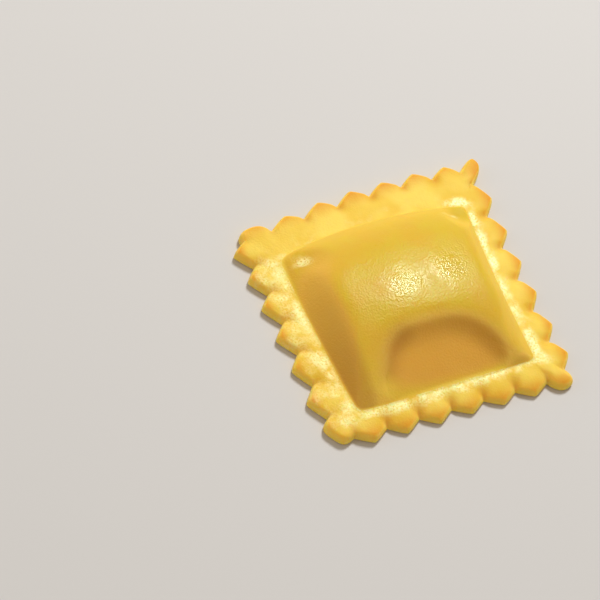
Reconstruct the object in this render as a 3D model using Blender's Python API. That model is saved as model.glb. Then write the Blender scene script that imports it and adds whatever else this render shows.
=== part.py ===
import bpy
import bmesh
import math
import random

# Driving dimensions, in millimetres
mm = 0.001
doughEdge = {
    "teethPerSide": 6,
    "stationsPerPitch": 6,
    "rimHeight": 2.2,
    "rootInset": 1.25,          # the notches draw in by this much more than the tips
    "tipRounding": 0.12,
    "notchDrop": 0.8,           # how far each notch is pressed down
    "notchLength": 2.8,
    "notchSpread": (0.6, 0.28),
    "cornerNotch": 0.5,         # how much of that is left beside a corner lobe
    "cornerShare": 0.03,        # part of the pillow's foot line that faces half a corner lobe
    "edgeDroop": (0.35, 0.28),  # how far the rim sinks towards its cut edge, and how much more in front
    "droopWidth": 4.2,
    "flatLobe": 0.7,            # the front left lobe lies flatter
    "seed": 7,
}

# The four corner lobes, each between the last notch of one side and the first of the next
cornerLobes = {
    "frontLeft": {"before": (-20.4, -17.5), "after": (-17.3, -21.8), "reach": 2.3, "lean": -0.1,
                  "power": 0.55, "taper": 0.1, "rounding": 1.0},
    "frontRight": {"before": (17.3, -20.2), "after": (21.2, -18.6), "reach": 2.7, "lean": 0.5,
                   "power": 0.75, "taper": 0.1, "rounding": 1.0},
    "backRight": {"before": (20.15, 19.3), "after": (18.6, 22.3), "reach": 3.85, "lean": 1.15,
                  "power": 0.68, "taper": 0.0, "rounding": 0.6},
    "backLeft": {"before": (-17.4, 18.3), "after": (-22.9, 17.1), "reach": 2.1, "lean": 0.4,
                 "power": 0.8, "taper": 0.1, "rounding": 1.0},
}

# The four toothed sides, run anticlockwise seen from above: how far the middle stands out,
# how far the teeth stand out, how far they lean along, and how they crowd to the side's start
sides = [
    {"start": "frontLeft", "end": "frontRight", "bow": -0.1, "reach": 1.7, "lean": 0.27, "crowd": 1.0},
    {"start": "frontRight", "end": "backRight", "bow": -0.35, "reach": 2.0, "lean": -0.2, "crowd": 1.06},
    {"start": "backRight", "end": "backLeft", "bow": 1.0, "reach": 1.8, "lean": 0.0, "crowd": 1.08},
    {"start": "backLeft", "end": "frontLeft", "bow": -0.3, "reach": 2.1, "lean": -0.5, "crowd": 1.1},
]

# The filled pillow: a domed crown cut off by four faces that rise from their foot lines
# A value that changes along a face is a list of (share of the way along, value)
# A rounded face climbs towards the crown's height over its rounding length
pillow = {
    "centre": (0.3, -1.6),
    "crownHeight": 8.0,
    "crownCentre": (-0.6, -0.6),
    "ridgeFall": (0.12, 0.17),  # slope of the crown well to the left and right of its middle
    "ridgeWidth": 4.0,
    "crownFall": 0.0145,
    "footSoftness": 0.6,
    "browSoftness": 0.9,
    "softeningHeight": 4.0,
}
frontFace = {"from": (-15.8, -18.4), "to": (16.5, -16.2), "bow": 0.1,
             "rounding": ((0.1, 8.5), (0.45, 5.0), (0.7, 4.5), (0.9, 3.5))}
rightFace = {"from": (16.5, -16.2), "to": (16.4, 15.0), "bow": -0.4, "slope": ((0.05, 1.05), (0.35, 1.7))}
backFace = {"from": (16.4, 15.0), "to": (-18.4, 12.3), "bow": 1.9, "rounding": ((0.0, 5.2), (1.0, 6.0))}
leftFace = {"from": (-18.4, 12.3), "to": (-15.8, -18.4), "bow": 0.2,
            "lowSlope": ((0.0, 0.45), (0.3, 0.6)), "lowWidth": ((0.0, 2.6), (0.42, 0.0)),
            "slope": ((0.1, 1.1), (0.36, 1.55)), "turn": ((0.2, 0.6), (0.4, 0.2))}
pillowFaces = (frontFace, rightFace, backFace, leftFace)

# The pinched corners behind: a low fold around each, then the pillow rises
pinches = (
    {"corner": (-18.4, 12.3), "height": 0.95, "radius": 4.3, "slope": 0.95},
    {"corner": (16.4, 15.0), "height": 0.8, "radius": 3.9, "slope": 1.1},
)

# The front of the pillow is sunk where there is no filling behind the dough
scoop = {
    "middle": (0.2, -16.5),
    "halfWidth": (8.4, 8.2),
    "flare": (1.8, 4.0),        # how much wider at the foot
    "reach": 7.6,
    "power": 2.8,
    "floorSlope": 0.4,
    "wallSlope": 1.4,
    "turn": 0.8,
    "browSoftness": 1.2,
}

# Section of the cut edge, from the base plane up: inset from the outline, share of the rim's height
edgeSection = [(0.45, 0.0), (0.13, 0.06), (0.0, 0.22), (0.01, 0.52), (0.12, 0.8), (0.4, 0.95), (0.8, 1.0)]
rimShares = [0.3, 0.5, 0.75, 1.0]
flankShares = [0.975, 0.94, 0.905, 0.87, 0.83, 0.79, 0.74, 0.69, 0.63, 0.57, 0.5, 0.43]

doughColor = (0.80, 0.55, 0.11, 1.0)


def clearScene():
    for thing in list(bpy.data.objects):
        bpy.data.objects.remove(thing, do_unlink=True)


def mix(a, b, share):
    return a + (b - a) * share


def smoothStep(low, high, value):
    share = min(max((value - low) / (high - low), 0.0), 1.0)
    return share * share * (3 - 2 * share)


def softPlus(value, width):
    if value > 12 * width:
        return value
    return width * math.log1p(math.exp(value / width))


def toothSizes():
    # No two teeth of a cut edge are quite alike
    chance = random.Random(doughEdge["seed"])
    return [[(side["reach"] + chance.uniform(-0.15, 0.15), side["lean"] + chance.uniform(-0.2, 0.2))
             for tooth in range(doughEdge["teethPerSide"])] for side in sides]


teeth = toothSizes()


def sideFrame(index):
    side = sides[index]
    start = cornerLobes[side["start"]]["after"]
    end = cornerLobes[side["end"]]["before"]
    length = math.dist(start, end)
    along = ((end[0] - start[0]) / length, (end[1] - start[1]) / length)
    return start, end, along, (along[1], -along[0])


def rootPoint(index, step, inset):
    start, end, along, out = sideFrame(index)
    share = min(max(step / doughEdge["teethPerSide"], 0.0), 1.0) ** sides[index]["crowd"]
    stand = sides[index]["bow"] * (1 - (2 * share - 1) ** 2) - doughEdge["rootInset"] * inset
    return (mix(start[0], end[0], share) + out[0] * stand,
            mix(start[1], end[1], share) + out[1] * stand)


def toothWave(share):
    # Straight flanks and a rounded tip
    flank = 1 - abs(2 * share - 1)
    return (1 + doughEdge["tipRounding"]) * flank - doughEdge["tipRounding"] * flank ** 6


def lobePoint(before, after, lobe, share):
    # A tongue from one notch to the next, leaning and tapering towards its tip
    middle = (0.5 * (before[0] + after[0]), 0.5 * (before[1] + after[1]))
    half = (0.5 * (after[0] - before[0]), 0.5 * (after[1] - before[1]))
    length = math.hypot(*half)
    out = (half[1] / length, -half[0] / length)
    angle = math.pi * share
    high = math.sin(angle) ** lobe["power"] if 0 < share < 1 else 0.0
    wide = abs(math.cos(angle)) ** lobe["power"] * (-1 if share < 0.5 else 1) * (1 - lobe["taper"] * high)
    wide += lobe["lean"] / length * high
    rise = lobe["reach"] * high
    return (middle[0] + half[0] * wide + out[0] * rise, middle[1] + half[1] * wide + out[1] * rise)


def cornerPoint(corner, share, inset):
    # The lobe's outline drawn in by the inset, at its ends the way the notches draw in
    lobe = cornerLobes[sides[corner]["start"]]
    last = doughEdge["teethPerSide"]
    before, after = rootPoint((corner + 3) % 4, last, 0), rootPoint(corner, 0, 0)
    x, y = lobePoint(before, after, lobe, share)
    ends = [rootPoint((corner + 3) % 4, last, inset), rootPoint(corner, 0, inset)]
    edge, start = (0, before) if share < 0.5 else (1, after)
    low = lobePoint(before, after, lobe, max(share - 0.04, 0.0))
    high = lobePoint(before, after, lobe, min(share + 0.04, 1.0))
    length = math.dist(low, high)
    inward = (-(high[1] - low[1]) / length, (high[0] - low[0]) / length)
    own = smoothStep(0.0, 0.25, 0.5 - abs(share - 0.5))
    return (x + mix(ends[edge][0] - start[0], inward[0] * inset * lobe["rounding"], own),
            y + mix(ends[edge][1] - start[1], inward[1] * inset * lobe["rounding"], own))


def edgePoint(index, pitch, inset):
    # A point of the cut outline, pitch running along a side from corner to corner
    step = pitch - 0.5
    if 0 <= step <= doughEdge["teethPerSide"]:
        tooth = min(int(step), doughEdge["teethPerSide"] - 1)
        wave = toothWave(step - tooth)
        reach, lean = teeth[index][tooth]
        root = rootPoint(index, step, inset)
        start, end, along, out = sideFrame(index)
        return (root[0] + (out[0] * reach + along[0] * lean) * wave,
                root[1] + (out[1] * reach + along[1] * lean) * wave)
    corner = index if step < 0 else (index + 1) % 4
    share = 0.5 + pitch if step < 0 else step - doughEdge["teethPerSide"]
    return cornerPoint(corner, share, inset)


def neckPoint(index, pitch, inset):
    # Behind a corner lobe, the matching point between its two notches; elsewhere the outline itself
    step = pitch - 0.5
    last = doughEdge["teethPerSide"]
    if 0 <= step <= last:
        return edgePoint(index, pitch, inset)
    corner = index if step < 0 else (index + 1) % 4
    share = 0.5 + pitch if step < 0 else step - last
    before, after = rootPoint((corner + 3) % 4, last, inset), rootPoint(corner, 0, inset)
    share = 0.5 + (share - 0.5) * (1 - 0.5 * math.sin(math.pi * share))
    return (mix(before[0], after[0], share), mix(before[1], after[1], share))


def notchList():
    # Each notch with the direction its groove runs in and how fully it is pressed
    notches = []
    for index in range(4):
        out = sideFrame(index)[3]
        for step in range(doughEdge["teethPerSide"] + 1):
            share = doughEdge["cornerNotch"] if step in (0, doughEdge["teethPerSide"]) else 1.0
            notches.append((rootPoint(index, step, 0), (-out[0], -out[1]), share))
    return notches


notches = notchList()


def notchPress(x, y):
    # How far the rim is pressed down here by the groove that runs in from each notch
    press, far = 0.0, 1.25 * doughEdge["notchLength"]
    for (nx, ny), (dx, dy), share in notches:
        if abs(x - nx) > far or abs(y - ny) > far:
            continue
        along = (x - nx) * dx + (y - ny) * dy
        across = (x - nx) * dy - (y - ny) * dx
        spread = doughEdge["notchSpread"][0] + doughEdge["notchSpread"][1] * max(along, 0.0)
        fade = max(0.0, 1 - max(along, 0.0) / doughEdge["notchLength"]) ** 1.5
        press = max(press, share * fade * math.exp(-(across / spread) ** 2))
    return doughEdge["notchDrop"] * press


def rimTop(x, y, distance):
    droop = doughEdge["edgeDroop"][0] - doughEdge["edgeDroop"][1] * y / 20
    droop *= 1 - doughEdge["flatLobe"] * smoothStep(32.0, 38.0, -x - y)
    droop *= max(0.0, 1 - distance / doughEdge["droopWidth"]) ** 2
    return doughEdge["rimHeight"] - droop - notchPress(x, y)


def softMin(values, width):
    lowest = min(values)
    return lowest - width * math.log(sum(math.exp(-(value - lowest) / width) for value in values))


def changing(stops, run):
    # A value that changes smoothly from stop to stop along a face
    value = stops[0][1]
    for (low, first), (high, last) in zip(stops, stops[1:]):
        value += (last - first) * smoothStep(low, high, run)
    return value


def faceDistance(face, x, y):
    # Distance inside the foot line and share of the way along it
    start, end = face["from"], face["to"]
    length = math.dist(start, end)
    along = ((end[0] - start[0]) / length, (end[1] - start[1]) / length)
    run = ((x - start[0]) * along[0] + (y - start[1]) * along[1]) / length
    inside = (y - start[1]) * along[0] - (x - start[0]) * along[1]
    return inside + face["bow"] * (1 - (2 * run - 1) ** 2), run


def roundedRise(face, inside, run):
    length = changing(face["rounding"], run)
    if inside <= 0:
        return pillow["crownHeight"] * inside / length
    return pillow["crownHeight"] * (1 - math.exp(-inside / length))


def scoopRise(inside, x, y):
    # Gentle floor from the foot line, then a steep wall outside the arc
    across, away = x - scoop["middle"][0], max(y - scoop["middle"][1], 0.0)
    side = 0 if across < 0 else 1
    width = scoop["halfWidth"][side] + scoop["flare"][side] * max(0.0, 1 - away / scoop["reach"]) ** 2
    reach = ((abs(across) / width) ** scoop["power"] + (away / scoop["reach"]) ** scoop["power"])
    reach = (reach + 1e-9) ** (1 / scoop["power"])
    outside = math.hypot(across, away) * (1 - 1 / reach)
    return scoop["floorSlope"] * inside + scoop["wallSlope"] * softPlus(outside, scoop["turn"])


def frontRise(x, y):
    inside, run = faceDistance(frontFace, x, y)
    hip = roundedRise(frontFace, inside, run)
    sunk = scoopRise(inside, x, y)
    width = mix(0.04, scoop["browSoftness"], min(max(min(hip, sunk) / 3, 0.0), 1.0))
    return softMin([hip, sunk], width)


def leftRise(x, y):
    inside, run = faceDistance(leftFace, x, y)
    low, slope = changing(leftFace["lowSlope"], run), changing(leftFace["slope"], run)
    width, turn = changing(leftFace["lowWidth"], run), changing(leftFace["turn"], run)
    return low * inside + (slope - low) * (softPlus(inside - width, turn) - softPlus(-width, turn))


def pinchRise(pinch, x, y):
    beyond = math.dist((x, y), pinch["corner"]) - pinch["radius"]
    return pinch["height"] + pinch["slope"] * softPlus(beyond, 0.7)


def pillowRise(x, y):
    # Height above the rim; below nought outside the foot line
    across = (x - pillow["crownCentre"][0]) / pillow["ridgeWidth"]
    top = pillow["crownHeight"] - pillow["crownFall"] * (y - pillow["crownCentre"][1]) ** 2
    fall = mix(*pillow["ridgeFall"], smoothStep(-1.0, 1.0, across))
    top -= fall * pillow["ridgeWidth"] * (math.sqrt(1 + across ** 2) - 1)
    inside, run = faceDistance(rightFace, x, y)
    right = inside * changing(rightFace["slope"], run)
    back = roundedRise(backFace, *faceDistance(backFace, x, y))
    rises = [top, frontRise(x, y), right, back, leftRise(x, y)]
    soft = mix(pillow["footSoftness"], pillow["browSoftness"],
               min(max(min(rises) / pillow["softeningHeight"], 0.0), 1.0))
    rise = softMin(rises, soft)
    if rise > 0.3:
        width = 0.4 * smoothStep(0.3, 1.2, rise) + 0.02
        rise = softMin([rise] + [pinchRise(pinch, x, y) for pinch in pinches], width)
    return rise


def footShare(index, pitch):
    # Share of the foot line that faces this pitch of the cut edge: in step with the teeth along the
    # middle of a side and closer together towards the corners
    step, last, end = pitch - 0.5, doughEdge["teethPerSide"], doughEdge["cornerShare"]
    if step < 0:
        share = end * pitch / 0.5
    elif step > last:
        share = 1 - end * (last + 1 - pitch) / 0.5
    else:
        share = mix(end, 1 - end, (step / last) ** sides[index]["crowd"])
    first, second = sideFrame(index)[:2]
    face = pillowFaces[index]
    stretch = math.dist(first, second) / math.dist(face["from"], face["to"])
    middle = 2 * share - 1
    return 0.5 + 0.5 * (stretch * middle - (stretch - 1) * middle ** 3)


def footPoint(index, pitch):
    face = pillowFaces[index]
    share = footShare(index, pitch)
    guide = (mix(face["from"][0], face["to"][0], share), mix(face["from"][1], face["to"][1], share))
    # Between these shares of the way out the foot is found by halving
    near, far = 0.5, 1.4
    for halving in range(24):
        middle = 0.5 * (near + far)
        x = mix(pillow["centre"][0], guide[0], middle)
        y = mix(pillow["centre"][1], guide[1], middle)
        if pillowRise(x, y) > 0:
            near = middle
        else:
            far = middle
    return (x, y)


def rimPath(start, neck, foot, share):
    # From the cut edge through the neck to the pillow's foot
    weights = ((1 - share) ** 3, 3 * share * (1 - share) ** 2, 3 * share ** 2 * (1 - share), share ** 3)
    return tuple(weights[0] * start[axis] + weights[1] * neck[axis] +
                 weights[2] * mix(neck[axis], foot[axis], 0.5) + weights[3] * foot[axis] for axis in (0, 1))


def addRing(mesh, points):
    return [mesh.verts.new((x * mm, y * mm, z * mm)) for x, y, z in points]


def bridge(mesh, low, high):
    count = len(low)
    for i in range(count):
        j = (i + 1) % count
        mesh.faces.new((low[i], low[j], high[j], high[i]))


def halvingBridge(mesh, low, high):
    # Joins a ring to one with half as many points
    for i in range(len(high)):
        j = (i + 1) % len(high)
        a, b, c = low[2 * i], low[2 * i + 1], low[(2 * i + 2) % len(low)]
        mesh.faces.new((a, b, high[i]))
        mesh.faces.new((b, high[j], high[i]))
        mesh.faces.new((b, c, high[j]))


def buildEdgeAndRim(mesh):
    count = doughEdge["stationsPerPitch"] * (doughEdge["teethPerSide"] + 1)
    stations = [(index, step / doughEdge["stationsPerPitch"]) for index in range(4) for step in range(count)]
    rings = []
    for inset, share in edgeSection:
        edge = [edgePoint(index, pitch, inset) for index, pitch in stations]
        rings.append(addRing(mesh, [(x, y, share * rimTop(x, y, inset)) for x, y in edge]))
    inset = edgeSection[-1][0]
    feet = [footPoint(index, pitch) for index, pitch in stations]
    inner = [edgePoint(index, pitch, inset) for index, pitch in stations]
    necks = [neckPoint(index, pitch, inset) for index, pitch in stations]
    for share in rimShares:
        ring = []
        for start, neck, foot in zip(inner, necks, feet):
            x, y = rimPath(start, neck, foot, share)
            ring.append((x, y, rimTop(x, y, inset + math.dist((x, y), start))))
        rings.append(addRing(mesh, ring))
    for low, high in zip(rings, rings[1:]):
        bridge(mesh, low, high)
    mesh.faces.new(list(reversed(rings[0])))
    return rings[-1], feet


def buildPillow(mesh, foot, feet):
    rings = []
    for share in flankShares:
        ring = []
        for x, y in feet[::2]:
            px, py = mix(pillow["centre"][0], x, share), mix(pillow["centre"][1], y, share)
            ring.append((px, py, doughEdge["rimHeight"] + pillowRise(px, py)))
        rings.append(addRing(mesh, ring))
    halvingBridge(mesh, foot, rings[0])
    for low, high in zip(rings, rings[1:]):
        bridge(mesh, low, high)
    buildCrown(mesh, rings[-1])


def buildCrown(mesh, loop):
    # The loop's four sides are filled with a grid, each point of it lying on the crown
    cells = len(loop) // 4
    grid = {}
    for i in range(cells + 1):
        grid[(i, 0)] = loop[i]
        grid[(cells, i)] = loop[cells + i]
        grid[(cells - i, cells)] = loop[2 * cells + i]
        grid[(0, cells - i)] = loop[(3 * cells + i) % len(loop)]
    for i in range(1, cells):
        for j in range(1, cells):
            u, v = i / cells, j / cells
            point = grid[(i, 0)].co * (1 - v) + grid[(i, cells)].co * v
            point = point + grid[(0, j)].co * (1 - u) + grid[(cells, j)].co * u
            point = point - grid[(0, 0)].co * (1 - u) * (1 - v) - grid[(cells, 0)].co * u * (1 - v)
            point = point - grid[(0, cells)].co * (1 - u) * v - grid[(cells, cells)].co * u * v
            x, y = point.x / mm, point.y / mm
            height = doughEdge["rimHeight"] + pillowRise(x, y)
            grid[(i, j)] = mesh.verts.new((x * mm, y * mm, height * mm))
    for i in range(cells):
        for j in range(cells):
            mesh.faces.new((grid[(i, j)], grid[(i + 1, j)], grid[(i + 1, j + 1)], grid[(i, j + 1)]))


def centreOnBase(mesh):
    # The frame's origin is the middle of the base
    for axis in range(2):
        low = min(vert.co[axis] for vert in mesh.verts)
        high = max(vert.co[axis] for vert in mesh.verts)
        for vert in mesh.verts:
            vert.co[axis] -= 0.5 * (low + high)


def makeDough():
    dough = bpy.data.materials.new("dough")
    dough.use_nodes = True
    shader = dough.node_tree.nodes["Principled BSDF"]
    shader.inputs["Base Color"].default_value = doughColor
    shader.inputs["Roughness"].default_value = 0.4
    shader.inputs["IOR"].default_value = 1.45
    return dough


def buildRavioli():
    mesh = bmesh.new()
    foot, feet = buildEdgeAndRim(mesh)
    buildPillow(mesh, foot, feet)
    centreOnBase(mesh)
    bmesh.ops.triangulate(mesh, faces=mesh.faces[:])
    bmesh.ops.recalc_face_normals(mesh, faces=mesh.faces[:])
    data = bpy.data.meshes.new("ravioli")
    mesh.to_mesh(data)
    mesh.free()
    for face in data.polygons:
        face.use_smooth = True
    ravioli = bpy.data.objects.new("ravioli", data)
    data.materials.append(makeDough())
    group = bpy.data.collections.new("ravioli")
    bpy.context.scene.collection.children.link(group)
    group.objects.link(ravioli)
    return ravioli


clearScene()
buildRavioli()
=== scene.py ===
import bpy
import math
import random
from mathutils import Matrix, Vector, noise


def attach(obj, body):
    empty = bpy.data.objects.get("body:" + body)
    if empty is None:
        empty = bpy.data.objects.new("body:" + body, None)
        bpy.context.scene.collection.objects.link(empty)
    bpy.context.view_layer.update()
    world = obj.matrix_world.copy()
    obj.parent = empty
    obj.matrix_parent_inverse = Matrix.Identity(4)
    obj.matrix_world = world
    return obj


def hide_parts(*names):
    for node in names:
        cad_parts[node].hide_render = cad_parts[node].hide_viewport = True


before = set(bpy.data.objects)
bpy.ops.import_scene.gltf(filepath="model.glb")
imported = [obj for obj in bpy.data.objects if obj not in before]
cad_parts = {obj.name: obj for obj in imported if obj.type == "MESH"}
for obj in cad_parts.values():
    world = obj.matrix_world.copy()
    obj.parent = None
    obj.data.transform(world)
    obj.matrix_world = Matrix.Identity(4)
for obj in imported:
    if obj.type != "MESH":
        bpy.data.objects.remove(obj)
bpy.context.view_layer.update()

mm = 0.001

# Cut edge of the dough. Lengths are millimetres, measured on the piece before it is centred
doughEdge = {
    "teethPerSide": 6,
    "stationsPerPitch": 20,
    "rimHeight": 2.2,
    "rootInset": 1.25,          # the notches draw in by this much more than the tips
    "tipRounding": 0.12,
    "notchDrop": 0.8,           # how far the wheel presses each notch down
    "notchLength": 2.8,
    "notchSpread": (0.6, 0.28),  # half width at the notch, and its growth with each millimetre inwards
    "notchFade": 1.5,
    "cornerNotch": 0.5,         # how much of that is left beside a corner lobe
    "cornerShare": 0.03,        # part of the pillow's foot line that faces half a corner lobe
    "edgeDroop": (0.35, 0.28),  # how far the rim sinks towards its cut edge, and how much more in front
    "droopWidth": 4.2,
    "halfSide": 20.0,
    "flatLobe": 0.7,            # the front left lobe lies flatter, from this far out along the diagonal
    "flatLobeFrom": (32.0, 38.0),
    "lowRadius": 0.45,
    "topRounding": 0.75,
    "lowSteps": 4,
    "topSteps": 12,
    "rimSteps": 26,
    "rimCrowd": 0.6,            # below 1 the steps are wider apart beside the cut edge
    "seed": 7,
    "deeperFrom": (-1.4, -1.2, -2.4, 0.0),  # where the deeper colour of the teeth starts on each side; it is partly their own colour, partly painted shade
    "deeperTo": 2.0,
    "lobeRelief": 0.8,          # how much of that colour a corner lobe loses
}

# Shares of a corner lobe's outline: the step for its direction, the stretch that still follows the
# notches, and how closely the points behind it gather
lobeOutline = {"step": 0.04, "notchEnd": 0.25, "gather": 0.5}

# Corner lobes, each between the last notch of one side and the first notch of the next
cornerLobes = {
    "frontLeft": {"before": (-20.4, -17.5), "after": (-17.3, -21.8), "reach": 2.3, "lean": -0.1,
                  "power": 0.55, "taper": 0.1, "rounding": 1.0},
    "frontRight": {"before": (17.3, -20.2), "after": (21.2, -18.6), "reach": 2.7, "lean": 0.5,
                   "power": 0.75, "taper": 0.1, "rounding": 1.0},
    "backRight": {"before": (20.15, 19.3), "after": (18.6, 22.3), "reach": 3.85, "lean": 1.15,
                  "power": 0.68, "taper": 0.0, "rounding": 0.6},
    "backLeft": {"before": (-17.4, 18.3), "after": (-22.9, 17.1), "reach": 2.1, "lean": 0.4,
                 "power": 0.8, "taper": 0.1, "rounding": 1.0},
}

# Toothed sides, anticlockwise from above. Press is the share of the full depth that their notches have
sides = [
    {"start": "frontLeft", "end": "frontRight",
     "bow": -0.1, "reach": 1.7, "lean": 0.27, "crowd": 1.0, "press": 1.0},
    {"start": "frontRight", "end": "backRight",
     "bow": -0.35, "reach": 2.0, "lean": -0.2, "crowd": 1.06, "press": 0.9},
    {"start": "backRight", "end": "backLeft",
     "bow": 1.0, "reach": 1.8, "lean": 0.0, "crowd": 1.08, "press": 0.85},
    {"start": "backLeft", "end": "frontLeft",
     "bow": -0.3, "reach": 2.1, "lean": -0.5, "crowd": 1.1, "press": 0.55},
]

# The filled pillow: a domed crown cut off by four faces that rise from their foot lines.
# A value that changes along a face is a list of (share of the way along, value)
pillow = {
    "centre": (0.3, -1.6),
    "crownHeight": 8.0,
    "crownCentre": (-0.6, -0.6),
    "ridgeFall": (0.12, 0.17),  # slope of the crown well to the left and right of its middle
    "ridgeWidth": 4.0,
    "crownFall": 0.0145,
    "footSoftness": 0.6,
    "browSoftness": 0.9,
    "softeningHeight": 4.0,
    "footFillet": 0.14,
    "colourFrom": (-0.05, 0.35),  # the rim's finish gives way to the pillow's over these heights
    "pinchFrom": (0.3, 1.2),    # the folds of the pinched corners come in over these heights
    "pinchSoftness": (0.02, 0.42),
    "flankSteps": 48,
    "flankCrowd": 1.25,         # above 1 the steps are closer together at the foot
    "crownShare": 0.44,
}
frontFace = {"from": (-15.8, -18.4), "to": (16.5, -16.2), "bow": 0.1,
             "rounding": ((0.1, 8.5), (0.45, 5.0), (0.7, 4.5), (0.9, 3.5))}
rightFace = {"from": (16.5, -16.2), "to": (16.4, 15.0), "bow": -0.4, "slope": ((0.05, 1.05), (0.35, 1.7))}
backFace = {"from": (16.4, 15.0), "to": (-18.4, 12.3), "bow": 1.9, "rounding": ((0.0, 5.2), (1.0, 6.0))}
leftFace = {"from": (-18.4, 12.3), "to": (-15.8, -18.4), "bow": 0.2,
            "lowSlope": ((0.0, 0.45), (0.3, 0.6)), "lowWidth": ((0.0, 2.6), (0.42, 0.0)),
            "slope": ((0.1, 1.1), (0.36, 1.55)), "turn": ((0.2, 0.6), (0.4, 0.2))}
pillowFaces = (frontFace, rightFace, backFace, leftFace)

# The pinched corners behind: a low fold around each, then the pillow rises
pinches = (
    {"corner": (-18.4, 12.3), "height": 0.95, "radius": 4.3, "slope": 0.95, "turn": 0.7},
    {"corner": (16.4, 15.0), "height": 0.8, "radius": 3.9, "slope": 1.1, "turn": 0.7},
)

# The front of the pillow is sunk where there is no filling behind the dough
scoop = {
    "middle": (0.2, -16.5),
    "halfWidth": (8.4, 8.2),
    "flare": (1.8, 4.0),        # how much wider at the foot
    "reach": 7.6,
    "power": (3.8, 2.8),        # squarer on the left
    "floorSlope": 0.4,
    "wallSlope": 1.4,
    "turn": 0.8,
    "footSoftness": 0.04,
    "browSoftness": 1.2,
    "softeningHeight": 3.0,
    "thinOver": (0.2, 2.0),     # depth below the full pillow at which the dough shows thin; its colour there is partly its own, partly painted shade
}

# Unevenness of hand-pressed dough: height and width of each kind of ripple
doughRelief = {
    "rimWave": (0.07, 3.2),
    "rimRipple": (0.012, 0.6),
    "crownWave": (0.06, 4.0),
    "crownCrease": (0.011, 0.8),
    "crownGrain": (0.013, 0.36),
    "creaseStretch": 2.2,       # creases run along the front, so they are this much longer than wide
    "grooveDepth": 0.12,        # shallow valley that parts the top of the pillow
    "groovePlace": (1.3, -0.7),
    "grooveWidth": (1.3, 3.6),
    "crownFrom": (0.2, 3.0),    # the rim's ripples give way to the crown's over these heights
    "seed": Vector((3.1, 7.7, 1.9)),
}

# Where cooking water lies on the dough: glossier there, with painted glints in its colour. A pair is where
# a share starts and where it is full
wetFilmAndGlints = {
    "strip": (-5.0, -1.2),      # beside the foot, by the pillow's slope carried on below the rim
    "stripEnd": (0.08, 0.0),
    "frontStrip": (-2.8, -1.1),  # narrower in front, by the distance inside the foot line
    "backLoss": 0.75,
    "backFrom": (12.0, 15.0),
    "backRight": (15.0, 12.0),
    "leftLoss": 0.2,
    "leftFrom": (-14.0, -17.0),
    # the pinched corners, wetter and with painted glints
    "corners": ((-15.2, 9.9), (12.6, 12.4)),
    "cornerSize": (1.5, 1.1),
    "cornerShare": 1.2,
    "crownPatches": (((-2.6, -0.8), (3.4, 3.0)), ((6.2, 0.7), (3.0, 2.9))),
}

# Dough stretched thin and steeped in water looks deeper
# Painted shade: darker brown low on the left face and on the left wall of the sunk front
foldShadeSpots = {
    "lowFace": (-0.1, 0.5),     # on the left face, by the distance inside its foot line
    "highFace": (4.6, 2.4),
    "alongFace": (0.3, 0.85),
    "faceShare": 0.45,
    "wall": (1.03, 0.19),       # on the sunk front's wall, middle and width in shares of the arc
    "wallLeft": (-2.0, -6.0),
    "wallAway": (0.3, 3.0),
    "wallShare": 0.52,
}

camera = {
    "azimuth": -38.7,
    "elevation": 54.8,
    "roll": 20.87,
    "distance": 0.388,
    "pixelsPerMetre": 6077.0,        # at the distance of the target
    "imageWidth": 600,
    "targetPixel": (404.7, 305.1),   # where the target on the base falls in the picture
    "target": (0.00092, -0.0005, 0.0),
    "sensorWidth": 36.0,
    "clipStart": 0.01,
}


def mix(a, b, share):
    return a + (b - a) * share


def smoothStep(low, high, value):
    share = min(max((value - low) / (high - low), 0.0), 1.0)
    return share * share * (3 - 2 * share)


def softPlus(value, width):
    if value > 12 * width:
        return value
    return width * math.log1p(math.exp(value / width))


def spot(x, y, place, size):
    # 1 at the place, fading over its size each way
    return math.exp(-((x - place[0]) / size[0]) ** 2 - ((y - place[1]) / size[1]) ** 2)


def toothSizes():
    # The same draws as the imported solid, so that the teeth agree
    chance = random.Random(doughEdge["seed"])
    return [[(side["reach"] + chance.uniform(-0.15, 0.15), side["lean"] + chance.uniform(-0.2, 0.2))
             for tooth in range(doughEdge["teethPerSide"])] for side in sides]


teeth = toothSizes()


def sideFrame(index):
    side = sides[index]
    start = cornerLobes[side["start"]]["after"]
    end = cornerLobes[side["end"]]["before"]
    length = math.dist(start, end)
    along = ((end[0] - start[0]) / length, (end[1] - start[1]) / length)
    return start, end, along, (along[1], -along[0])


def rootPoint(index, step, inset):
    start, end, along, out = sideFrame(index)
    share = min(max(step / doughEdge["teethPerSide"], 0.0), 1.0) ** sides[index]["crowd"]
    stand = sides[index]["bow"] * (1 - (2 * share - 1) ** 2) - doughEdge["rootInset"] * inset
    return (mix(start[0], end[0], share) + out[0] * stand,
            mix(start[1], end[1], share) + out[1] * stand)


def toothWave(share):
    # Straight flanks and a rounded tip
    flank = 1 - abs(2 * share - 1)
    return (1 + doughEdge["tipRounding"]) * flank - doughEdge["tipRounding"] * flank ** 6


def lobePoint(before, after, lobe, share):
    # A tongue from one notch to the next, leaning and tapering towards its tip
    middle = (0.5 * (before[0] + after[0]), 0.5 * (before[1] + after[1]))
    half = (0.5 * (after[0] - before[0]), 0.5 * (after[1] - before[1]))
    length = math.hypot(*half)
    out = (half[1] / length, -half[0] / length)
    angle = math.pi * share
    high = math.sin(angle) ** lobe["power"] if 0 < share < 1 else 0.0
    wide = abs(math.cos(angle)) ** lobe["power"] * (-1 if share < 0.5 else 1) * (1 - lobe["taper"] * high)
    wide += lobe["lean"] / length * high
    rise = lobe["reach"] * high
    return (middle[0] + half[0] * wide + out[0] * rise, middle[1] + half[1] * wide + out[1] * rise)


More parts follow.
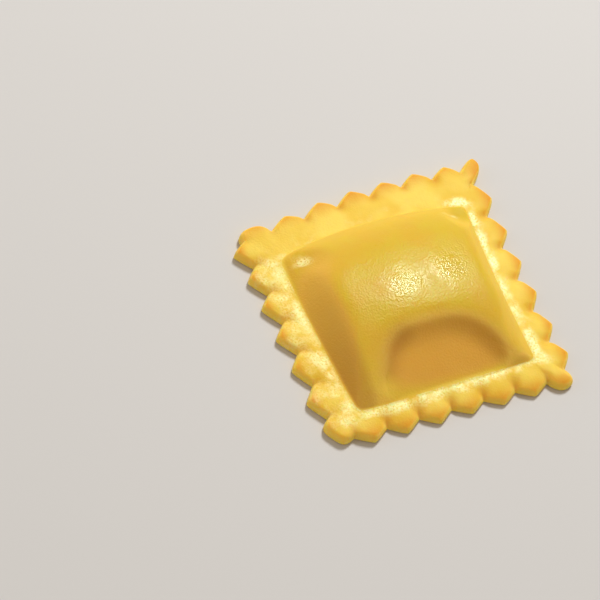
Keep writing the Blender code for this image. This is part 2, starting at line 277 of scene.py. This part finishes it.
def cornerPoint(corner, share, inset):
    # The lobe's outline drawn in by the inset, at its ends the way the notches draw in
    lobe = cornerLobes[sides[corner]["start"]]
    last = doughEdge["teethPerSide"]
    before, after = rootPoint((corner + 3) % 4, last, 0), rootPoint(corner, 0, 0)
    x, y = lobePoint(before, after, lobe, share)
    ends = [rootPoint((corner + 3) % 4, last, inset), rootPoint(corner, 0, inset)]
    edge, start = (0, before) if share < 0.5 else (1, after)
    low = lobePoint(before, after, lobe, max(share - lobeOutline["step"], 0.0))
    high = lobePoint(before, after, lobe, min(share + lobeOutline["step"], 1.0))
    length = math.dist(low, high)
    inward = (-(high[1] - low[1]) / length, (high[0] - low[0]) / length)
    own = smoothStep(0.0, lobeOutline["notchEnd"], 0.5 - abs(share - 0.5))
    return (x + mix(ends[edge][0] - start[0], inward[0] * inset * lobe["rounding"], own),
            y + mix(ends[edge][1] - start[1], inward[1] * inset * lobe["rounding"], own))


def edgePoint(index, pitch, inset):
    # A point of the cut outline, pitch running along a side from corner to corner
    step = pitch - 0.5
    if 0 <= step <= doughEdge["teethPerSide"]:
        tooth = min(int(step), doughEdge["teethPerSide"] - 1)
        wave = toothWave(step - tooth)
        reach, lean = teeth[index][tooth]
        root = rootPoint(index, step, inset)
        start, end, along, out = sideFrame(index)
        return (root[0] + (out[0] * reach + along[0] * lean) * wave,
                root[1] + (out[1] * reach + along[1] * lean) * wave)
    corner = index if step < 0 else (index + 1) % 4
    share = 0.5 + pitch if step < 0 else step - doughEdge["teethPerSide"]
    return cornerPoint(corner, share, inset)


def neckPoint(index, pitch, inset):
    # Behind a tooth or a corner lobe, the matching point between its two notches
    step = pitch - 0.5
    last = doughEdge["teethPerSide"]
    if 0 <= step <= last:
        return rootPoint(index, step, inset)
    corner = index if step < 0 else (index + 1) % 4
    share = 0.5 + pitch if step < 0 else step - last
    before, after = rootPoint((corner + 3) % 4, last, inset), rootPoint(corner, 0, inset)
    share = 0.5 + (share - 0.5) * (1 - lobeOutline["gather"] * math.sin(math.pi * share))
    return (mix(before[0], after[0], share), mix(before[1], after[1], share))


def notchList():
    # Each notch with the direction its groove runs in and how fully it is pressed
    notches = []
    for index in range(4):
        out = sideFrame(index)[3]
        for step in range(doughEdge["teethPerSide"] + 1):
            share = doughEdge["cornerNotch"] if step in (0, doughEdge["teethPerSide"]) else 1.0
            notches.append((rootPoint(index, step, 0), (-out[0], -out[1]), share * sides[index]["press"]))
    return notches


notches = notchList()


def notchPress(x, y):
    # How far the rim is pressed down here by the groove that runs in from each notch
    press = 0.0
    far = 1.25 * doughEdge["notchLength"]  # no groove reaches this far
    for (nx, ny), (dx, dy), share in notches:
        if abs(x - nx) > far or abs(y - ny) > far:
            continue
        along = (x - nx) * dx + (y - ny) * dy
        across = (x - nx) * dy - (y - ny) * dx
        spread = doughEdge["notchSpread"][0] + doughEdge["notchSpread"][1] * max(along, 0.0)
        fade = max(0.0, 1 - max(along, 0.0) / doughEdge["notchLength"]) ** doughEdge["notchFade"]
        press = max(press, share * fade * math.exp(-(across / spread) ** 2))
    return doughEdge["notchDrop"] * press


def rimTop(x, y, distance):
    droop = doughEdge["edgeDroop"][0] - doughEdge["edgeDroop"][1] * y / doughEdge["halfSide"]
    droop *= 1 - doughEdge["flatLobe"] * smoothStep(*doughEdge["flatLobeFrom"], -x - y)
    droop *= max(0.0, 1 - distance / doughEdge["droopWidth"]) ** 2
    return doughEdge["rimHeight"] - droop - notchPress(x, y)


def softMin(values, width):
    lowest = min(values)
    return lowest - width * math.log(sum(math.exp(-(value - lowest) / width) for value in values))


def changing(stops, run):
    # A value that changes smoothly from stop to stop along a face
    value = stops[0][1]
    for (low, first), (high, last) in zip(stops, stops[1:]):
        value += (last - first) * smoothStep(low, high, run)
    return value


def faceDistance(face, x, y):
    # Distance inside the foot line and share of the way along it
    start, end = face["from"], face["to"]
    length = math.dist(start, end)
    along = ((end[0] - start[0]) / length, (end[1] - start[1]) / length)
    run = ((x - start[0]) * along[0] + (y - start[1]) * along[1]) / length
    inside = (y - start[1]) * along[0] - (x - start[0]) * along[1]
    return inside + face["bow"] * (1 - (2 * run - 1) ** 2), run


def roundedRise(face, inside, run):
    length = changing(face["rounding"], run)
    if inside <= 0:
        return pillow["crownHeight"] * inside / length
    return pillow["crownHeight"] * (1 - math.exp(-inside / length))


def scoopReach(x, y):
    # 1 on the arc that bounds the sunk floor, less inside it and more outside
    across, away = x - scoop["middle"][0], max(y - scoop["middle"][1], 0.0)
    side = 0 if across < 0 else 1
    width = scoop["halfWidth"][side] + scoop["flare"][side] * max(0.0, 1 - away / scoop["reach"]) ** 2
    power = scoop["power"][side]
    reach = (abs(across) / width) ** power + (away / scoop["reach"]) ** power
    return across, away, (reach + 1e-9) ** (1 / power)


def scoopRise(inside, x, y):
    # Gentle floor from the foot line, then a steep wall outside the arc
    across, away, reach = scoopReach(x, y)
    outside = math.hypot(across, away) * (1 - 1 / reach)
    return scoop["floorSlope"] * inside + scoop["wallSlope"] * softPlus(outside, scoop["turn"])


def frontRise(x, y):
    inside, run = faceDistance(frontFace, x, y)
    hip = roundedRise(frontFace, inside, run)
    sunk = scoopRise(inside, x, y)
    width = mix(scoop["footSoftness"], scoop["browSoftness"],
                min(max(min(hip, sunk) / scoop["softeningHeight"], 0.0), 1.0))
    return softMin([hip, sunk], width)


def leftRise(x, y):
    inside, run = faceDistance(leftFace, x, y)
    low, slope = changing(leftFace["lowSlope"], run), changing(leftFace["slope"], run)
    width, turn = changing(leftFace["lowWidth"], run), changing(leftFace["turn"], run)
    return low * inside + (slope - low) * (softPlus(inside - width, turn) - softPlus(-width, turn))


def pinchRise(pinch, x, y):
    beyond = math.dist((x, y), pinch["corner"]) - pinch["radius"]
    return pinch["height"] + pinch["slope"] * softPlus(beyond, pinch["turn"])


def pillowRise(x, y):
    # Height above the rim; below nought outside the foot line
    across = (x - pillow["crownCentre"][0]) / pillow["ridgeWidth"]
    top = pillow["crownHeight"] - pillow["crownFall"] * (y - pillow["crownCentre"][1]) ** 2
    fall = mix(*pillow["ridgeFall"], smoothStep(-1.0, 1.0, across))
    top -= fall * pillow["ridgeWidth"] * (math.sqrt(1 + across ** 2) - 1)
    inside, run = faceDistance(rightFace, x, y)
    right = inside * changing(rightFace["slope"], run)
    back = roundedRise(backFace, *faceDistance(backFace, x, y))
    rises = [top, frontRise(x, y), right, back, leftRise(x, y)]
    soft = mix(pillow["footSoftness"], pillow["browSoftness"],
               min(max(min(rises) / pillow["softeningHeight"], 0.0), 1.0))
    rise = softMin(rises, soft)
    if rise > pillow["pinchFrom"][0]:
        width = mix(*pillow["pinchSoftness"], smoothStep(*pillow["pinchFrom"], rise))
        rise = softMin([rise] + [pinchRise(pinch, x, y) for pinch in pinches], width)
    return rise


def footShare(index, pitch):
    # Share of the foot line that faces this pitch of the cut edge: in step with the teeth along the
    # middle of a side and closer together towards the corners
    step, last, end = pitch - 0.5, doughEdge["teethPerSide"], doughEdge["cornerShare"]
    if step < 0:
        share = end * pitch / 0.5
    elif step > last:
        share = 1 - end * (last + 1 - pitch) / 0.5
    else:
        share = mix(end, 1 - end, (step / last) ** sides[index]["crowd"])
    first, second = sideFrame(index)[:2]
    face = pillowFaces[index]
    stretch = math.dist(first, second) / math.dist(face["from"], face["to"])
    middle = 2 * share - 1
    return 0.5 + 0.5 * (stretch * middle - (stretch - 1) * middle ** 3)


def footPoint(index, pitch):
    face = pillowFaces[index]
    share = footShare(index, pitch)
    guide = (mix(face["from"][0], face["to"][0], share), mix(face["from"][1], face["to"][1], share))
    # Between these shares of the way out the foot is found by halving
    near, far = 0.5, 1.4
    for halving in range(24):
        middle = 0.5 * (near + far)
        x = mix(pillow["centre"][0], guide[0], middle)
        y = mix(pillow["centre"][1], guide[1], middle)
        if pillowRise(x, y) > 0:
            near = middle
        else:
            far = middle
    return (x, y)


def ripple(x, y, size, shift):
    place = Vector((x, y, 0)) / size + doughRelief["seed"] * shift
    return noise.noise(place)


def doughHeight(x, y, base):
    # Base is the pressed rim's height here; the pillow swells out of it through a small fillet
    rise = pillowRise(x, y)
    swell = softPlus(rise, pillow["footFillet"])
    onPillow = smoothStep(*doughRelief["crownFrom"], rise)
    flat, full = 0.0, 0.0
    if onPillow < 1:
        flat += doughRelief["rimWave"][0] * ripple(x, y, doughRelief["rimWave"][1], 1)
        flat += doughRelief["rimRipple"][0] * ripple(x, y, doughRelief["rimRipple"][1], 2)
    if onPillow > 0:
        full += doughRelief["crownWave"][0] * ripple(x, y, doughRelief["crownWave"][1], 3)
        full += doughRelief["crownCrease"][0] * ripple(x / doughRelief["creaseStretch"], y,
                                                       doughRelief["crownCrease"][1], 4)
        full += doughRelief["crownGrain"][0] * ripple(x, y, doughRelief["crownGrain"][1], 5)
        valley = spot(x, y, doughRelief["groovePlace"], doughRelief["grooveWidth"])
        full -= doughRelief["grooveDepth"] * valley
    return base + swell + mix(flat, full, onPillow)


def toothShare(x, y):
    # 0 on the rim, 1 at the tips of the teeth, low on the corner lobes. It deepens the teeth's colour,
    # partly painted shade
    shares = []
    for index in range(4):
        start, end, along, out = sideFrame(index)
        beyond = (x - start[0]) * out[0] + (y - start[1]) * out[1] - sides[index]["bow"]
        shares.append(smoothStep(doughEdge["deeperFrom"][index], doughEdge["deeperTo"], beyond))
    shares.sort()
    return shares[-1] * (1 - doughEdge["lobeRelief"] * shares[-2])


def sunkShare(x, y):
    # the sunk front's colour share: partly the thin dough's own tone, partly painted shade
    inside, run = faceDistance(frontFace, x, y)
    if inside <= 0:
        return 0.0
    return smoothStep(*scoop["thinOver"], roundedRise(frontFace, inside, run) - scoopRise(inside, x, y))


def wetAndGlintShare(x, y, rise):
    # A strip of film round the pillow's foot, and a patch on each pinched corner; it lowers the roughness
    # and paints pale glints
    wetAndGlint = smoothStep(*wetFilmAndGlints["strip"], rise) * smoothStep(*wetFilmAndGlints["stripEnd"], rise)
    wetAndGlint = min(wetAndGlint, smoothStep(*wetFilmAndGlints["frontStrip"], faceDistance(frontFace, x, y)[0]))
    back = smoothStep(*wetFilmAndGlints["backFrom"], y) * smoothStep(*wetFilmAndGlints["backRight"], x)
    wetAndGlint *= 1 - wetFilmAndGlints["backLoss"] * back
    wetAndGlint *= 1 - wetFilmAndGlints["leftLoss"] * smoothStep(*wetFilmAndGlints["leftFrom"], x)
    patches = sum(spot(x, y, corner, wetFilmAndGlints["cornerSize"]) for corner in wetFilmAndGlints["corners"])
    return wetAndGlint + wetFilmAndGlints["cornerShare"] * patches


def shineShare(x, y):
    return sum(spot(x, y, place, size) for place, size in wetFilmAndGlints["crownPatches"])


def foldShare(x, y):
    # Painted shade, low on the left face and on the left wall of the sunk front
    inside, run = faceDistance(leftFace, x, y)
    face = smoothStep(*foldShadeSpots["lowFace"], inside) * smoothStep(*foldShadeSpots["highFace"], inside)
    face *= smoothStep(*foldShadeSpots["alongFace"], run)
    across, away, reach = scoopReach(x, y)
    middle, width = foldShadeSpots["wall"]
    wall = math.exp(-((reach - middle) / width) ** 2)
    wall *= smoothStep(*foldShadeSpots["wallLeft"], across) * smoothStep(*foldShadeSpots["wallAway"], away)
    return max(foldShadeSpots["faceShare"] * face, foldShadeSpots["wallShare"] * wall)


def doughMasks(x, y):
    # Shares that steer the colour and the gloss
    rise = pillowRise(x, y)
    return {
        "pillow": smoothStep(*pillow["colourFrom"], rise),
        "notch": notchPress(x, y) / doughEdge["notchDrop"],
        "sunk": sunkShare(x, y),
        "wetAndGlint": wetAndGlintShare(x, y, rise),
        "tooth": toothShare(x, y),
        "shine": shineShare(x, y),
        "fold": foldShare(x, y),
    }


def edgeRings():
    # The cut edge as (inset, share between the low corner and the top) from the base up
    low = doughEdge["lowRadius"]
    rings = []
    for step in range(doughEdge["lowSteps"]):
        angle = 0.5 * math.pi * step / doughEdge["lowSteps"]
        rings.append((low * (1 - math.sin(angle)), low * (1 - math.cos(angle)), 0.0))
    for step in range(doughEdge["topSteps"] + 1):
        angle = 0.5 * math.pi * step / doughEdge["topSteps"]
        rings.append((doughEdge["topRounding"] * (1 - math.cos(angle)), low, math.sin(angle)))
    return rings


def rimPath(start, neck, foot, share):
    # From the cut edge through the neck to the pillow's foot
    weights = ((1 - share) ** 3, 3 * share * (1 - share) ** 2, 3 * share ** 2 * (1 - share), share ** 3)
    return tuple(weights[0] * start[axis] + weights[1] * neck[axis] +
                 weights[2] * mix(neck[axis], foot[axis], 0.5) + weights[3] * foot[axis] for axis in (0, 1))


def shapeDough():
    # Rings of points from the base, round the cut edge, over the rim and up the pillow
    perSide = doughEdge["stationsPerPitch"] * (doughEdge["teethPerSide"] + 1)
    stations = [(index, step / doughEdge["stationsPerPitch"])
                for index in range(4) for step in range(perSide)]
    points, rings = [], []

    def addRing(ring):
        rings.append(range(len(points), len(points) + len(ring)))
        points.extend(ring)

    for inset, low, lift in edgeRings():
        ring = []
        for index, pitch in stations:
            x, y = edgePoint(index, pitch, inset)
            top = doughHeight(x, y, rimTop(x, y, inset))
            ring.append((x, y, low + (top - doughEdge["lowRadius"]) * lift))
        addRing(ring)
    print("cut edge:", len(rings), "rings of", len(stations), "points")

    feet = [footPoint(index, pitch) for index, pitch in stations]
    inset = doughEdge["topRounding"]
    inner = [edgePoint(index, pitch, inset) for index, pitch in stations]
    necks = [neckPoint(index, pitch, inset) for index, pitch in stations]
    for step in range(1, doughEdge["rimSteps"] + 1):
        share = (step / doughEdge["rimSteps"]) ** doughEdge["rimCrowd"]
        ring = []
        for start, neck, foot in zip(inner, necks, feet):
            x, y = rimPath(start, neck, foot, share)
            ring.append((x, y, doughHeight(x, y, rimTop(x, y, inset + math.dist((x, y), start)))))
        addRing(ring)

    for step in range(1, pillow["flankSteps"] + 1):
        share = 1 - (1 - pillow["crownShare"]) * (step / pillow["flankSteps"]) ** pillow["flankCrowd"]
        ring = []
        for x, y in feet:
            px, py = mix(pillow["centre"][0], x, share), mix(pillow["centre"][1], y, share)
            ring.append((px, py, doughHeight(px, py, doughEdge["rimHeight"])))
        addRing(ring)
    print("rim and flanks:", len(rings), "rings")
    return points, rings, perSide


def fillCrown(points, faces, loop, cells):
    # A grid over the top of the pillow, its sides on the last ring
    grid = {}
    for i in range(cells + 1):
        grid[(i, 0)] = loop[i]
        grid[(cells, i)] = loop[cells + i]
        grid[(cells - i, cells)] = loop[2 * cells + i]
        grid[(0, cells - i)] = loop[(3 * cells + i) % len(loop)]
    corner = {(i, j): points[grid[(i * cells, j * cells)]] for i in (0, 1) for j in (0, 1)}
    for i in range(1, cells):
        for j in range(1, cells):
            u, v = i / cells, j / cells
            place = []
            for axis in (0, 1):
                value = mix(points[grid[(i, 0)]][axis], points[grid[(i, cells)]][axis], v)
                value += mix(points[grid[(0, j)]][axis], points[grid[(cells, j)]][axis], u)
                value -= mix(mix(corner[(0, 0)][axis], corner[(1, 0)][axis], u),
                             mix(corner[(0, 1)][axis], corner[(1, 1)][axis], u), v)
                place.append(value)
            grid[(i, j)] = len(points)
            points.append((place[0], place[1], doughHeight(place[0], place[1], doughEdge["rimHeight"])))
    for i in range(cells):
        for j in range(cells):
            faces.append((grid[(i, j)], grid[(i + 1, j)], grid[(i + 1, j + 1)], grid[(i, j + 1)]))


def makeDough():
    points, rings, perSide = shapeDough()
    count = len(rings[0])
    faces = [tuple(reversed(rings[0]))]
    for low, high in zip(rings, rings[1:]):
        for i in range(count):
            j = (i + 1) % count
            faces.append((low[i], low[j], high[j], high[i]))
    fillCrown(points, faces, list(rings[-1]), perSide)

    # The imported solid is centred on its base, so the fine skin takes the same shift
    outline = [points[i] for ring in rings[:len(edgeRings())] for i in ring]
    shift = [0.5 * (min(p[axis] for p in outline) + max(p[axis] for p in outline)) for axis in (0, 1)]
    mesh = bpy.data.meshes.new("raviolo skin")
    mesh.from_pydata([((x - shift[0]) * mm, (y - shift[1]) * mm, z * mm) for x, y, z in points], [], faces)
    mesh.shade_smooth()
    masks = [doughMasks(x, y) for x, y, z in points]
    for name in masks[0]:
        layer = mesh.attributes.new(name, "FLOAT", "POINT")
        layer.data.foreach_set("value", [mask[name] for mask in masks])
    dough = bpy.data.objects.new("raviolo", mesh)
    bpy.context.scene.collection.objects.link(dough)
    print("dough:", len(mesh.vertices), "points,", len(mesh.polygons), "faces, centred by", shift)
    return dough


def hexColor(text):
    # sRGB hex to the linear values that nodes take
    values = [int(text[i:i + 2], 16) / 255 for i in (1, 3, 5)]
    return tuple(v / 12.92 if v <= 0.04045 else ((v + 0.055) / 1.055) ** 2.4 for v in values) + (1.0,)


def addNode(tree, kind, inputs=None, **settings):
    # Adds a node with its settings, socket values and links
    node = tree.nodes.new(kind)
    for name, value in settings.items():
        setattr(node, name, value)
    for socket, value in (inputs or {}).items():
        if isinstance(value, bpy.types.NodeSocket):
            tree.links.new(value, node.inputs[socket])
        else:
            node.inputs[socket].default_value = value
    return node


eggDough = {
    "rim": "#ecc947",
    "rimPale": "#f4d962",
    # the teeth deepen towards their tips, partly their own colour, partly painted shade
    "tooth": "#e29b26",
    "edge": "#ffd258",    # painted light: the walls of the cut edge, turned from the lamps, made lighter
    # painted shade: darker orange in the pressed notches
    "notch": "#cd7c24",
    # painted glints: pale colour on the wet film
    "paintedGlint": "#fff0a8",
    "filled": "#d9bb37",
    "filledWarm": "#dbb538",
    # sunk front: partly the thin dough's own tone, partly painted shade
    "sunk": "#dfac48",
    # painted shade: deeper orange on slopes, most where they turn from the key lamp
    "steep": "#eabb4e",
    # painted light: lighter on slopes that face the front
    "hip": "#f5cf60",
    # painted shade: darker brown low on the left face and on the left wall of the sunk front
    "fold": "#b98032",
    "rimRoughness": 0.55,
    "filledRoughness": 0.10,
    "dullRoughness": 0.36,
    "flankRoughness": 0.65,
    "wetRoughness": 0.22,
    "specular": 0.36,     # less than plain water's 0.5: the film is thin and broken
    "ior": 1.36,          # a film of cooking water over the starch
    "filmTint": (0.7, 1.0, 0.8, 1.0),
    "subsurface": 1.0,
    "subsurfaceScale": 0.0008,
    "subsurfaceRadius": (1.0, 0.65, 0.35),
    "grainSize": 0.34,    # millimetres, semolina grain
    "grainDepth": 0.06,
    "mottleSize": 6.0,
    "patchSize": 2.4,
    "cloudSize": 1.6,
    "noiseDetail": 2.0,
    "patchLift": 0.3,     # how much the wet mask lifts the patches
    "cloudLift": 1.4,     # how strongly the dull clouds break the shine
}

# From where a share starts to where it is full, and its least value
doughFades = {
    "pale": (0.4, 0.65, 0.0),       # by the mottling
    "warm": (0.4, 0.62, 0.0),
    "grainy": (0.32, 0.54, 0.0),    # by the grain
    "edge": (0.96, 0.6, 0.0),       # painted light on the walls of the cut edge, by the upward part of the surface's direction
    # painted shade on slopes, by the upward part of the surface's direction
    "steep": (0.98, 0.72, 0.0),
    "dull": (0.96, 0.8, 0.0),
    "hip": (-0.12, -0.45, 0.0),     # painted light, by its part towards the back: lighter where a slope faces the front
    "shadeSide": (0.45, 0.0, 0.55),    # by its parts towards the right and the back together: less painted shade where the key lamp lights the slope
    "dry": (0.5, 0.0, 0.0),         # by the depth of the notches
    "broken": (0.6, 0.84, 0.0),     # by the patches
    "shiny": (0.8, 1.4, 0.0),       # by the clouds over the wet places of the crown
}


def doughShares(tree):
    # All that steers the finish: the masks, the noise and the way the surface faces
    texture = addNode(tree, "ShaderNodeTexCoord").outputs
    facing = addNode(tree, "ShaderNodeSeparateXYZ", {"Vector": texture["Normal"]}).outputs
    shares = {}
    for name in ("pillow", "notch", "sunk", "wetAndGlint", "tooth", "shine", "fold"):
        shares[name] = addNode(tree, "ShaderNodeAttribute", attribute_name=name).outputs["Fac"]
    for name in ("grain", "mottle", "patch", "cloud"):
        noiseInputs = {"Vector": texture["Object"], "Scale": 1 / (eggDough[name + "Size"] * mm),
                       "Detail": eggDough["noiseDetail"]}
        shares[name] = addNode(tree, "ShaderNodeTexNoise", noiseInputs).outputs["Fac"]
    sums = {
        "rightBack": (facing["X"], 1.0, facing["Y"]),
        "lifted": (shares["wetAndGlint"], eggDough["patchLift"], shares["patch"]),
        "clouded": (shares["cloud"], eggDough["cloudLift"], shares["shine"]),
    }
    for name, (first, factor, second) in sums.items():
        shares[name] = addNode(tree, "ShaderNodeMath", {0: first, 1: factor, 2: second},
                               operation="MULTIPLY_ADD").outputs["Value"]
    sources = {
        "pale": shares["mottle"], "warm": shares["mottle"], "grainy": shares["grain"],
        "edge": facing["Z"], "steep": facing["Z"], "dull": facing["Z"], "hip": facing["Y"],
        "shadeSide": shares["rightBack"], "dry": shares["notch"], "broken": shares["lifted"],
        "shiny": shares["clouded"],
    }
    for name, source in sources.items():
        low, high, least = doughFades[name]
        fadeInputs = {"Value": source, "From Min": low, "From Max": high, "To Min": least}
        shares[name] = addNode(tree, "ShaderNodeMapRange", fadeInputs).outputs["Result"]
    # the slope share is painted shade on slopes turned from the key lamp; the glint share paints pale
    # glints on the wet film
    products = (("flank", "steep", "shadeSide"), ("damp", "wetAndGlint", "dry"), ("film", "damp", "broken"),
                ("paintedGlints", "film", "grainy"))
    for name, first, second in products:
        shares[name] = addNode(tree, "ShaderNodeMath", {0: shares[first], 1: shares[second]},
                               operation="MULTIPLY").outputs["Value"]
    return shares


def layOver(tree, base, layers, kind):
    # Lays each layer over what is below it, by its share
    for share, value in layers:
        base = addNode(tree, "ShaderNodeMix", {"Factor": share, "A": base, "B": value},
                       data_type=kind).outputs["Result"]
    return base


def boiledEggDough():
    # Boiled egg pasta: soft satin, a wet film on top, and light that sinks a little way in
    material = bpy.data.materials.new("boiled egg pasta dough")
    material.use_nodes = True
    tree = material.node_tree
    shader = tree.nodes["Principled BSDF"]
    shares = doughShares(tree)
    paint = {name: hexColor(value) for name, value in eggDough.items() if isinstance(value, str)}

    # the teeth deepen partly in their own colour, partly in painted shade; the notches get painted shade,
    # the walls of the cut edge painted light
    rimLayers = ((shares["pale"], paint["rimPale"]), (shares["tooth"], paint["tooth"]),
                 (shares["notch"], paint["notch"]), (shares["edge"], paint["edge"]))
    rim = layOver(tree, paint["rim"], rimLayers, "RGBA")
    # painted shade on slopes turned from the key lamp, with painted light on slopes that face the front
    flank = layOver(tree, paint["steep"], ((shares["hip"], paint["hip"]),), "RGBA")
    # the sunk front's colour is partly thin dough, partly painted shade; the fold colour is painted shade
    filledLayers = ((shares["warm"], paint["filledWarm"]), (shares["flank"], flank),
                    (shares["sunk"], paint["sunk"]), (shares["fold"], paint["fold"]))
    filled = layOver(tree, paint["filled"], filledLayers, "RGBA")
    # painted glints where the wet film lies
    allLayers = ((shares["pillow"], filled), (shares["paintedGlints"], paint["paintedGlint"]))
    tree.links.new(layOver(tree, rim, allLayers, "RGBA"), shader.inputs["Base Color"])

    crownGloss = ((shares["shiny"], eggDough["filledRoughness"]),
                  (shares["dull"], eggDough["flankRoughness"]))
    crown = layOver(tree, eggDough["dullRoughness"], crownGloss, "FLOAT")
    allGloss = ((shares["pillow"], crown), (shares["film"], eggDough["wetRoughness"]))
    tree.links.new(layOver(tree, eggDough["rimRoughness"], allGloss, "FLOAT"), shader.inputs["Roughness"])

    grainInputs = {"Height": shares["grain"], "Distance": eggDough["grainDepth"] * mm}
    tree.links.new(addNode(tree, "ShaderNodeBump", grainInputs).outputs["Normal"], shader.inputs["Normal"])
    shader.inputs["IOR"].default_value = eggDough["ior"]
    shader.inputs["Specular IOR Level"].default_value = eggDough["specular"]
    shader.inputs["Specular Tint"].default_value = eggDough["filmTint"]
    shader.inputs["Subsurface Weight"].default_value = eggDough["subsurface"]
    shader.inputs["Subsurface Radius"].default_value = eggDough["subsurfaceRadius"]
    shader.inputs["Subsurface Scale"].default_value = eggDough["subsurfaceScale"]
    return material


studio = {
    "floorColor": "#cfcfcf",
    "floorRoughness": 0.8,
    "floorSize": 1.6,
    "skyColor": "#fff0dc",
    "skyStrength": 0.44,
    "keyPower": 3.63,
    "keySize": 0.14,
    "lampDistance": 0.7,
    "keyDirection": (0.36, 0.45, 0.817),
    "fillPower": 0.6,
    "fillSize": 0.5,
    "fillDirection": (-0.9, 0.25, 0.36),
}


def makeStudio():
    scene = bpy.context.scene
    scene.view_settings.view_transform = "Standard"
    world = bpy.data.worlds.new("soft room")
    scene.world = world
    world.use_nodes = True
    sky = world.node_tree.nodes["Background"]
    sky.inputs["Color"].default_value = hexColor(studio["skyColor"])
    sky.inputs["Strength"].default_value = studio["skyStrength"]

    bpy.ops.mesh.primitive_plane_add(size=studio["floorSize"])
    floor = bpy.context.object
    floor.name = "floor"
    paint = bpy.data.materials.new("pale matt board")
    paint.use_nodes = True
    board = paint.node_tree.nodes["Principled BSDF"]
    board.inputs["Base Color"].default_value = hexColor(studio["floorColor"])
    board.inputs["Roughness"].default_value = studio["floorRoughness"]
    floor.data.materials.append(paint)

    for name in ("key", "fill"):
        light = bpy.data.lights.new(name, "AREA")
        light.energy = studio[name + "Power"]
        light.size = studio[name + "Size"]
        lamp = bpy.data.objects.new(name, light)
        towards = Vector(studio[name + "Direction"]).normalized()
        lamp.location = towards * studio["lampDistance"]
        lamp.rotation_euler = towards.to_track_quat("Z", "Y").to_euler()
        scene.collection.objects.link(lamp)


def aimCamera():
    azimuth, elevation, roll = (math.radians(camera[key]) for key in ("azimuth", "elevation", "roll"))
    back = Vector((math.sin(azimuth) * math.cos(elevation), -math.cos(azimuth) * math.cos(elevation),
                   math.sin(elevation)))
    level = Vector((math.cos(azimuth), math.sin(azimuth), 0))
    upright = back.cross(level)
    right = level * math.cos(roll) + upright * math.sin(roll)
    up = upright * math.cos(roll) - level * math.sin(roll)
    focal = camera["pixelsPerMetre"] * camera["distance"]
    offset = [pixel - 0.5 * camera["imageWidth"] for pixel in camera["targetPixel"]]
    # Turned, not shifted, so that the target falls on its pixel
    forward = (-back * focal - right * offset[0] + up * offset[1]).normalized()
    up = (up - forward * up.dot(forward)).normalized()
    right = forward.cross(up)
    lens = bpy.data.cameras.new("camera")
    lens.sensor_width = camera["sensorWidth"]
    lens.lens = lens.sensor_width * focal / camera["imageWidth"]
    lens.clip_start = camera["clipStart"]
    viewer = bpy.data.objects.new("camera", lens)
    viewer.matrix_world = Matrix((right, up, -forward)).transposed().to_4x4()
    viewer.location = Vector(camera["target"]) + back * camera["distance"]
    bpy.context.scene.collection.objects.link(viewer)
    bpy.context.scene.camera = viewer


print("studio and camera")
makeStudio()
aimCamera()
print("shaping the dough")
raviolo = makeDough()
raviolo.data.materials.append(boiledEggDough())
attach(raviolo, "root")
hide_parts("ravioli")
